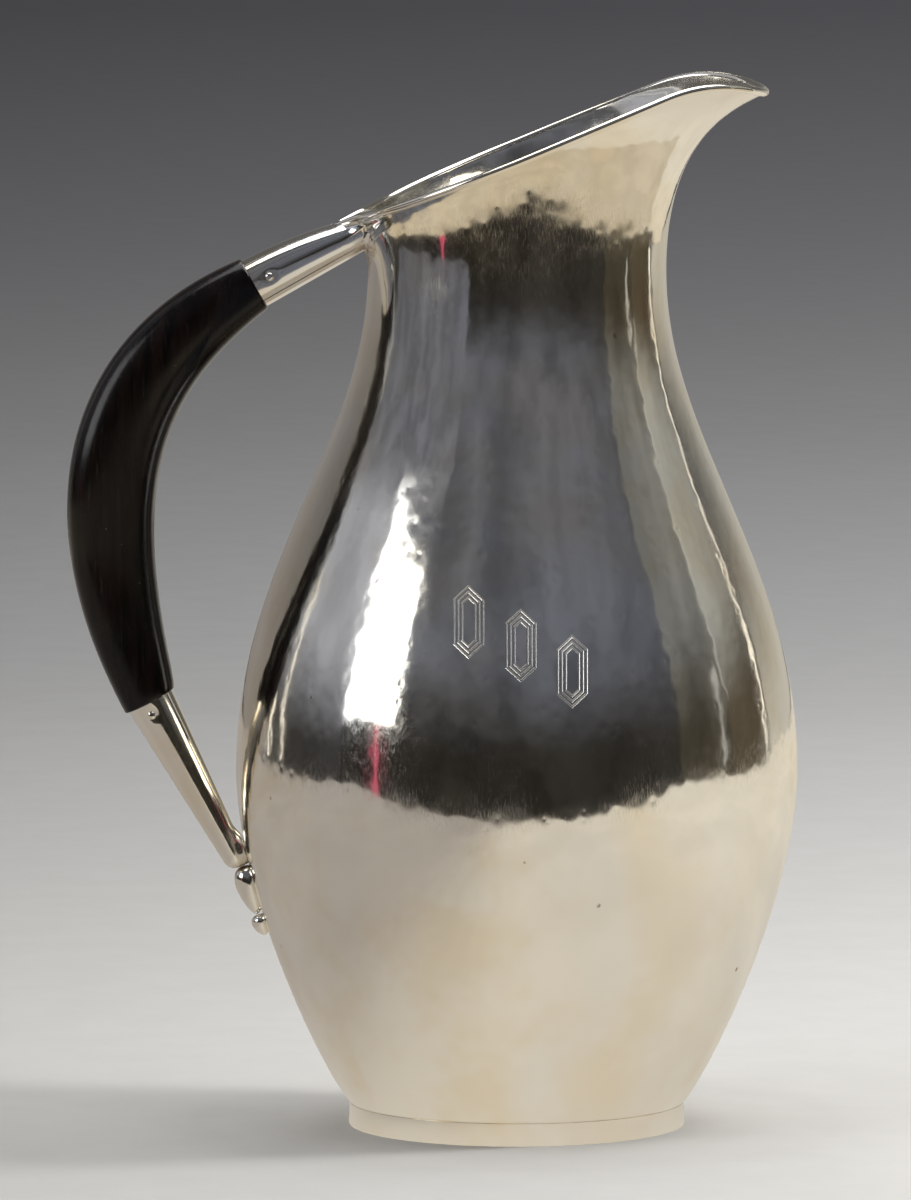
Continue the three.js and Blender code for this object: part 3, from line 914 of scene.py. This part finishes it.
# A falling row of three upright bars with pointed ends, each cut as three lines one inside another.
BARS = ((-10.6, 116.0), (0.6, 111.2), (11.6, 105.6))
BAR_HALF_WIDTH = 3.1
BAR_HALF_HEIGHT = 7.4
BAR_POINT = 0.9                   # height given up to the point for each millimetre of half width
BAR_SLOPE_SHARE = 0.74            # turns a height under the slope into a distance square to it
LINE_PITCH = 0.85
LINE_HALF = 0.17


def engraved_bars(b):
    """1 in the cut lines, 0 elsewhere, on the side that faces -Y."""
    place = b.split()
    total = None
    for x, z in BARS:
        across = b.math("ABSOLUTE", b.math("SUBTRACT", place[0], AXIS.x + x * MM))
        upright = b.math("ABSOLUTE", b.math("SUBTRACT", place[2], z * MM))
        side = b.math("SUBTRACT", BAR_HALF_WIDTH * MM, across)
        slope = b.math("ADD", upright, b.math("MULTIPLY", across, BAR_POINT))
        end = b.math("MULTIPLY", b.math("SUBTRACT", BAR_HALF_HEIGHT * MM, slope), BAR_SLOPE_SHARE)
        inside = b.math("MULTIPLY", b.math("MINIMUM", side, end), 1 / (LINE_PITCH * MM))
        phase = b.math("ABSOLUTE", b.math("SUBTRACT", b.math("FRACT", b.math("ADD", inside, 0.5)), 0.5))
        line = b.ramp(phase, LINE_HALF / LINE_PITCH * 0.6, LINE_HALF / LINE_PITCH * 1.4, 1.0, 0.0)
        # only the first three lines in from the bar's edge
        window = b.math("MULTIPLY", b.ramp(inside, -0.4, -0.3), b.ramp(inside, 2.3, 2.4, 1.0, 0.0))
        bar = b.math("MULTIPLY", line, window)
        total = bar if total is None else b.math("MAXIMUM", total, bar)
    near_side = b.ramp(place[1], -20 * MM, -10 * MM, 1.0, 0.0)
    return b.math("MULTIPLY", total, near_side)


def ebony_finish():
    """Waxed ebony: near black, brown in the light, with long fine pores along the bow."""
    material, b, shader = finish_nodes("waxed_ebony")
    pores = b.noise(1.0, 4, 0.65, b.scaled(1500, 1500, 130, (0, 0.15, 0)))
    bands = b.noise(1.0, 3, 0.6, b.scaled(420, 420, 42, (0, 0.15, 0)))
    tone = b.blend(b.ramp(bands, 0.4, 0.7), (0.0022, 0.0014, 0.0012), (0.0085, 0.0042, 0.0032))
    tone = b.blend(b.ramp(pores, 0.58, 0.76, 0.0, 0.8), tone, (0.02, 0.0105, 0.008))
    dust = b.ramp(b.cells(260, "F1"), 0.04, 0.06, 1.0, 0.0)
    dust = b.math("MULTIPLY", dust, b.ramp(b.noise(90, 1, 0.5), 0.58, 0.62))
    tone = b.blend(b.math("MULTIPLY", dust, 0.3), tone, (0.16, 0.13, 0.11))
    rough = b.math("ADD", 0.165, b.math("MULTIPLY", b.ramp(pores, 0.45, 0.75), 0.1))
    rough = b.math("ADD", rough, b.ramp(b.noise(70, 2, 0.5), 0.4, 0.7, 0.0, 0.08))
    b.join(tone, shader.inputs["Base Color"])
    b.join(rough, shader.inputs["Roughness"])
    b.join(b.bump(b.noise(240, 2, 0.5), 0.02, b.bump(pores, 0.012)), shader.inputs["Normal"])
    shader.inputs["Specular IOR Level"].default_value = 0.32
    return material


# ---------------------------------------------------------------- stage and light

CAMERA_AWAY = 2.8
CAMERA_UP = math.radians(5.9)
CAMERA_LENS = 384.7
CAMERA_FILM = 36
CAMERA_AIM = at(-13.4, 0, 115.2)

# The paper's light falls off to the left by this much for each unit aside, up to a widest angle.
PAPER_FALL_OFF = 2.9
PAPER_SIDE = 0.06

# How the paper's painted light and its painted glow change with distance from the pitcher, in metres:
# the brighter ring close round the foot is a painted glow of light, the darkening further out is the
# light's painted fall-off, and the emission far off is a painted glow.
PAPER_REACH = 6.0
PAPER_PAINTED_LIGHT = (
    (0.0, (0.74, 0.73, 0.71)),
    (0.043, (0.74, 0.73, 0.71)),
    (0.056, (0.615, 0.605, 0.585)),
    (0.12, (0.565, 0.555, 0.535)),
    (0.42, (0.49, 0.483, 0.47)),
    (0.58, (0.46, 0.453, 0.445)),
    (0.76, (0.428, 0.424, 0.418)),
    (0.98, (0.37, 0.369, 0.367)),
    (1.8, (0.22, 0.22, 0.222)),
    (2.6, (0.15, 0.15, 0.152)),
    (4.3, (0.082, 0.082, 0.085)),
    (6.0, (0.07, 0.07, 0.073)),
)
PAPER_PAINTED_GLOW = (
    (0.0, (0.0, 0.0, 0.0)),
    (0.82, (0.0, 0.0, 0.0)),
    (1.0, (0.032, 0.032, 0.032)),
    (1.21, (0.0625, 0.0625, 0.0625)),
    (1.5, (0.092, 0.092, 0.092)),
    (1.85, (0.108, 0.107, 0.109)),
    (2.53, (0.099, 0.098, 0.102)),
    (3.58, (0.075, 0.073, 0.078)),
    (4.28, (0.061, 0.0595, 0.065)),
    (6.0, (0.052, 0.051, 0.056)),
)

# The cream card is a flat ring round the pitcher, level with the neck's turn, in metres.
CREAM = (0.58, 0.505, 0.39)
CARD_LEVEL = 0.1
CARD_NEAR = 0.2
CARD_FAR = 0.55
CARD_STEPS = 60

# The lit table that the silver mirrors, in metres, and its tones from left to right.
TABLE_CORNERS = ((-0.95, -0.36, -0.0002), (1.1, 1.15, -0.0002))
TABLE_LEFT = (0.385, 0.352, 0.322)
TABLE_MIDDLE = (0.63, 0.58, 0.505)
TABLE_RIGHT = (0.74, 0.68, 0.57)

# The room that the silver mirrors. Its walls stand round the pitcher, at these distances and
# between these levels, in metres. A wall's row gives its finish and its name, its tones below and
# above, the levels between which one runs into the other, how mottled it is and at what scale,
# and the headings between which it stands, in degrees.
ROOM_AWAY = 1.7
ROOM_LOW = -1.0
ROOM_HIGH = 2.6
ROOM_WALLS = (
    ("dim_room", "room_in_the_silver",
     (0.024, 0.022, 0.019), (0.108, 0.114, 0.136), (0.16, 0.95), (0.35, 1.6), (-76, 70)),
    ("left_room", "left_wall_in_the_silver",
     (0.035, 0.033, 0.032), (0.345, 0.355, 0.40), (0.1, 0.62), (0.2, 2.0), (-121, -76)),
    ("right_room", "right_room_in_the_silver",
     (0.05, 0.043, 0.03), (0.17, 0.17, 0.165), (0.16, 0.9), (0.3, 2.4), (70, 98)),
    ("bright_room", "side_wall_in_the_silver",
     (0.075, 0.06, 0.04), (0.33, 0.33, 0.31), (0.2, 0.8), (0.2, 2.0), (98, 121)),
)

# The two halves of the paper sweep behind the pitcher, and the bright lines beside them.
SWEEP_AWAY = 1.5
SWEEP_LOW = -0.01
SWEEP_HIGH = 3.0
SWEEPS = (
    ("right_sweep", "right_sweep_in_the_silver",
     (0.52, 0.49, 0.43), (0.11, 0.107, 0.10), (0.0, 0.6), (126, 180)),
    ("left_sweep", "left_sweep_in_the_silver",
     (0.25, 0.23, 0.215), (0.11, 0.107, 0.105), (0.0, 0.8), (180, 236)),
)
EDGE_AWAY = 1.49
EDGE_HIGH = 2.4
EDGES = (
    ("right_edge_in_the_silver", 122, 123.6),
    ("left_edge_in_the_silver", 237.5, 239.2),
    ("left_line_in_the_silver", 247, 248.0),
)
LINE_AWAY = 1.6
THIN_LINE = (0.55, 0.54, 0.5)

# The lamp's window with its pink stand, and the veil that dims its image in the neck.
BOX_AWAY = 1.25
PINK = (0.62, 0.10, 0.17)
VEIL_AWAY = 0.066
VEIL_EDGE = (0.148, 0.166)


def heading(degrees):
    """A level direction: 0 is towards the camera, 90 towards +X."""
    turn = math.radians(degrees)
    return Vector((math.sin(turn), -math.cos(turn), 0))


def set_camera():
    back = Vector((0, -math.cos(CAMERA_UP), math.sin(CAMERA_UP)))
    camera = bpy.data.cameras.new("camera")
    camera.lens = CAMERA_LENS
    camera.sensor_width = CAMERA_FILM
    holder = bpy.data.objects.new("camera", camera)
    bpy.context.scene.collection.objects.link(holder)
    holder.location = CAMERA_AIM + back * CAMERA_AWAY
    holder.rotation_mode = "QUATERNION"
    holder.rotation_quaternion = (-back).to_track_quat("-Z", "Y")
    bpy.context.scene.camera = holder


def only_mirrored(obj):
    """Seen in the silver, but not by the camera, and it throws neither light nor shade."""
    obj.visible_camera = False
    obj.visible_diffuse = False
    obj.visible_transmission = False
    obj.visible_volume_scatter = False
    obj.visible_shadow = False


def self_lit(name):
    """A finish that only glows, with the bench and the socket for its colour."""
    material = bpy.data.materials.new(name)
    material.use_nodes = True
    material.node_tree.nodes.clear()
    b = Bench(material.node_tree)
    light = b.node("ShaderNodeEmission")
    out = b.node("ShaderNodeOutputMaterial")
    b.join(light.outputs[0], out.inputs[0])
    return material, b, light.inputs["Color"]


def glowing(name, low, high, z_low, z_high, mottle=0.0, mottle_scale=2.0):
    """A self-lit surface whose colour runs from low to high with height."""
    material, b, colour = self_lit(name)
    tone = b.blend(b.ramp(b.split()[2], z_low, z_high), low, high)
    if mottle:
        tone = b.dimmed(tone, b.ramp(b.noise(mottle_scale, 3, 0.55), 0.3, 0.7, 1 - mottle, 1 + mottle))
    b.join(tone, colour)
    return material


def screen(name, start, end, z_low, z_high, away, material, steps=48):
    """An upright screen bent round the pitcher, from one heading to another."""
    clear_bench()
    bpy.ops.mesh.primitive_grid_add(x_subdivisions=steps, y_subdivisions=1, size=2)
    wall = named(name)
    bpy.ops.object.mode_set(mode="EDIT")
    bm = bmesh.from_edit_mesh(wall.data)
    for v in bm.verts:
        turn = start + (end - start) * (v.co.x + 1) / 2
        v.co = AXIS + heading(turn) * away + Vector((0, 0, z_low if v.co.y < 0 else z_high))
    bmesh.update_edit_mesh(wall.data)
    bpy.ops.object.mode_set(mode="OBJECT")
    wall.data.materials.append(material)
    only_mirrored(wall)
    return wall


def flat(name, corners, material):
    clear_bench()
    bpy.ops.mesh.primitive_plane_add(size=1)
    plate = named(name)
    for v in plate.data.vertices:
        x = corners[0][0] if v.co.x < 0 else corners[1][0]
        y = corners[0][1] if v.co.y < 0 else corners[1][1]
        v.co = Vector((x, y, corners[0][2]))
    plate.data.materials.append(material)
    return plate


def paper_finish():
    """Pale paper, darker with distance as the sweep runs out of the light."""
    material, b, shader = finish_nodes("pale_paper")
    away = b.node("ShaderNodeVectorMath", operation="DISTANCE")
    b.join(b.place, away.inputs[0])
    away.inputs[1].default_value = AXIS
    place = b.split()
    # the light falls off to the left, by the same share at every distance
    aside = b.math("DIVIDE", place[0], b.math("ADD", place[1], CAMERA_AWAY))
    aside = b.math("MINIMUM", PAPER_SIDE, b.math("MAXIMUM", -PAPER_SIDE, aside))
    lean = b.math("ADD", 1.0, b.math("MULTIPLY", aside, PAPER_FALL_OFF))
    grain = b.ramp(b.noise(55, 4, 0.6), 0.3, 0.7, 0.985, 1.015)
    share = b.math("MULTIPLY", lean, grain)
    # The base colour carries painted light, a glow round the foot and the fall-off with distance, and
    # the emission is a painted glow far off.
    for stops, socket in ((PAPER_PAINTED_LIGHT, "Base Color"), (PAPER_PAINTED_GLOW, "Emission Color")):
        ramp = b.node("ShaderNodeValToRGB")
        for i, (distance, tone) in enumerate(stops):
            stop = ramp.color_ramp.elements[i] if i < 2 else ramp.color_ramp.elements.new(1.0)
            stop.position = distance / PAPER_REACH
            stop.color = (*tone, 1)
        b.join(b.math("MULTIPLY", away.outputs["Value"], 1 / PAPER_REACH), ramp.inputs["Fac"])
        b.join(b.dimmed(ramp.outputs["Color"], share), shader.inputs[socket])
    shader.inputs["Emission Strength"].default_value = 1.0
    shader.inputs["Roughness"].default_value = 0.9
    shader.inputs["Specular IOR Level"].default_value = 0.0
    return material


def soft_light(name, place, target, width, height, power, tone=(1, 1, 1), mirrored=False):
    lamp = bpy.data.lights.new(name, "AREA")
    lamp.shape = "RECTANGLE"
    lamp.size = width
    lamp.size_y = height
    lamp.energy = power
    lamp.color = tone
    holder = bpy.data.objects.new(name, lamp)
    bpy.context.scene.collection.objects.link(holder)
    holder.location = place
    holder.rotation_mode = "QUATERNION"
    holder.rotation_quaternion = (Vector(target) - Vector(place)).to_track_quat("-Z", "Y")
    holder.visible_camera = False
    holder.visible_glossy = mirrored


def shown_by(material, share_of):
    """A glowing surface that shows by a share and is clear by the rest."""
    nodes = material.node_tree.nodes
    out = next(n for n in nodes if n.type == "OUTPUT_MATERIAL")
    light = next(n for n in nodes if n.type == "EMISSION")
    b = Bench(material.node_tree)
    clear = b.node("ShaderNodeBsdfTransparent")
    either = b.node("ShaderNodeMixShader")
    b.join(share_of(b), either.inputs[0])
    b.join(clear.outputs[0], either.inputs[1])
    b.join(light.outputs[0], either.inputs[2])
    b.join(either.outputs[0], out.inputs[0])
    return material


def face_on_one_side(b):
    return b.node("ShaderNodeNewGeometry").outputs["Backfacing"]


def veil_edge(b):
    return b.ramp(b.split()[2], *VEIL_EDGE)


def lit_table():
    """Cream on the right, greyer on the left, where the pitcher stands in its own shade."""
    material, b, colour = self_lit("lit_table")
    across = b.split()[0]
    cream = b.blend(b.ramp(across, 0.0, 0.4), TABLE_MIDDLE, TABLE_RIGHT)
    tone = b.blend(b.ramp(across, -0.10, 0.02), TABLE_LEFT, cream)
    b.join(b.dimmed(tone, b.ramp(b.noise(7.0, 3, 0.55), 0.3, 0.7, 0.94, 1.05)), colour)
    return material


def cream_card():
    """A flat ring that only shows from above, seen low down in the silver of the neck."""
    tone = glowing("cream_card", CREAM, CREAM, 0, 1, 0.1, 14.0)
    card = screen(
        "card_in_the_silver", -128, 118, CARD_LEVEL, CARD_LEVEL, CARD_NEAR,
        shown_by(tone, face_on_one_side), CARD_STEPS,
    )
    for v in card.data.vertices:
        if v.index > CARD_STEPS:
            level = Vector((v.co.x - AXIS.x, v.co.y - AXIS.y, 0)).normalized()
            v.co = AXIS + level * CARD_FAR + Vector((0, 0, CARD_LEVEL))


def set_stage():
    floor = flat("floor", ((-9, -9, 0), (9, 9, 0)), paper_finish())
    floor.visible_glossy = False
    table = flat("table_in_the_silver", TABLE_CORNERS, lit_table())
    only_mirrored(table)
    cream_card()

    for finish, wall, low, high, levels, mottle, headings in ROOM_WALLS:
        tone = glowing(finish, low, high, *levels, *mottle)
        screen(wall, *headings, ROOM_LOW, ROOM_HIGH, ROOM_AWAY, tone)
    for finish, wall, low, high, levels, headings in SWEEPS:
        tone = glowing(finish, low, high, *levels, 0.06, 2.0)
        screen(wall, *headings, SWEEP_LOW, SWEEP_HIGH, SWEEP_AWAY, tone)
    edge = glowing("sweep_edge", (1.6, 1.5, 1.3), (1.0, 0.98, 0.92), 0.0, 1.2)
    for name, start, end in EDGES:
        screen(name, start, end, 0.0, EDGE_HIGH, EDGE_AWAY, edge, 4)
    thin = glowing("thin_line", THIN_LINE, THIN_LINE, 0, 1)
    screen("right_line_in_the_silver", 97.2, 98.2, 0.3, 1.4, LINE_AWAY, thin, 4)
    screen("right_lamp_foot_in_the_silver", 92, 94, 0.02, 0.45, LINE_AWAY, thin, 4)
    box = glowing("soft_box", (3.4, 3.45, 3.5), (2.6, 2.65, 2.75), 0.3, 0.95)
    screen("soft_box_in_the_silver", -76, -51, 0.27, 0.92, BOX_AWAY, box, 24)
    stand = glowing("stand", PINK, PINK, 0, 1)
    screen("stand_in_the_silver", -60.5, -57.5, -0.3, 0.25, BOX_AWAY, stand, 2)
    veil = glowing("blue_veil", (0.15, 0.155, 0.18), (0.125, 0.13, 0.155), 0.155, 0.19, 0.25, 160.0)
    shown_by(veil, veil_edge)
    screen("veil_in_the_silver", -82, -29, 0.147, 0.188, VEIL_AWAY, veil, 24)

    soft_light("overhead", AXIS + Vector((0.1, 0.2, 1.6)), AXIS, 1.8, 1.8, 29, mirrored=True)
    soft_light("from_the_right", AXIS + Vector((1.3, 0.05, 0.75)), AXIS, 0.3, 0.3, 13, (1.0, 0.99, 0.96))
    left_lamp = AXIS + heading(-57) * 1.3 + Vector((0, 0, 0.6))
    soft_light("from_the_left", left_lamp, AXIS + Vector((0, 0, 0.1)), 0.8, 0.9, 7)

    world = bpy.data.worlds.new("dim_room_air")
    world.use_nodes = True
    world.node_tree.nodes["Background"].inputs["Color"].default_value = (0.05, 0.05, 0.053, 1)
    bpy.context.scene.world = world
    bpy.context.scene.view_settings.view_transform = "Standard"


# ---------------------------------------------------------------- making

set_camera()
set_stage()

vessel, vessel_outside = raise_vessel()
foot_ring = turn_foot_ring()
lip_wire = bend_lip_wire()
upper_socket = draw_upper_socket(vessel_outside)
lower_socket = draw_lower_socket(vessel_outside)
grip = carve_grip()
upper_pin = drive_pin("upper_rivet", "upper_pin", UPPER_PIN_HALF)
lower_pin = drive_pin("lower_rivet", "lower_pin", LOWER_PIN_HALF)
large_drop = form_drop("large_drop_silver", GAP * 0.5, LARGE_DROP, vessel_outside)
small_drop = form_drop("small_drop_silver", LARGE_DROP[0] + GAP, SMALL_DROP, vessel_outside)

# Round the two joins the silver is darkened towards brown: partly tarnish, partly painted shade in the
# creases.
neck_joint = at(-31, 0, 192)
body_silver = silver_finish("hammered_silver", tarnish_and_shade_at_joins=((neck_joint, 5.0, 8.5),), engraving=True)
fittings_silver = silver_finish("fittings_silver", 2.4, 0.012, tarnish_and_shade_at_joins=(
    (neck_joint, 4.6, 7.5),
    (at(*(LOWER_SEAT + LOWER_OUT * 1.5)), 1.2, 3.2),
))
ebony = ebony_finish()

for piece, finish, slot, node in (
    (vessel, body_silver, "silver_body", "body_shell"),
    (foot_ring, fittings_silver, "silver_fittings", "foot_ring"),
    (lip_wire, fittings_silver, "silver_fittings", "rim_wire"),
    (upper_socket, fittings_silver, "silver_fittings", "upper_socket"),
    (upper_pin, fittings_silver, "silver_fittings", "upper_pin"),
    (grip, ebony, "ebony", "handle_grip"),
    (lower_socket, fittings_silver, "silver_fittings", "lower_socket"),
    (lower_pin, fittings_silver, "silver_fittings", "lower_pin"),
    (large_drop, fittings_silver, "silver_fittings", "large_drop"),
    (small_drop, fittings_silver, "silver_fittings", "small_drop"),
):
    piece.data.materials.clear()
    piece.data.materials.append(finish)
    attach(piece, "root")
    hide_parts(node)

clear_bench()
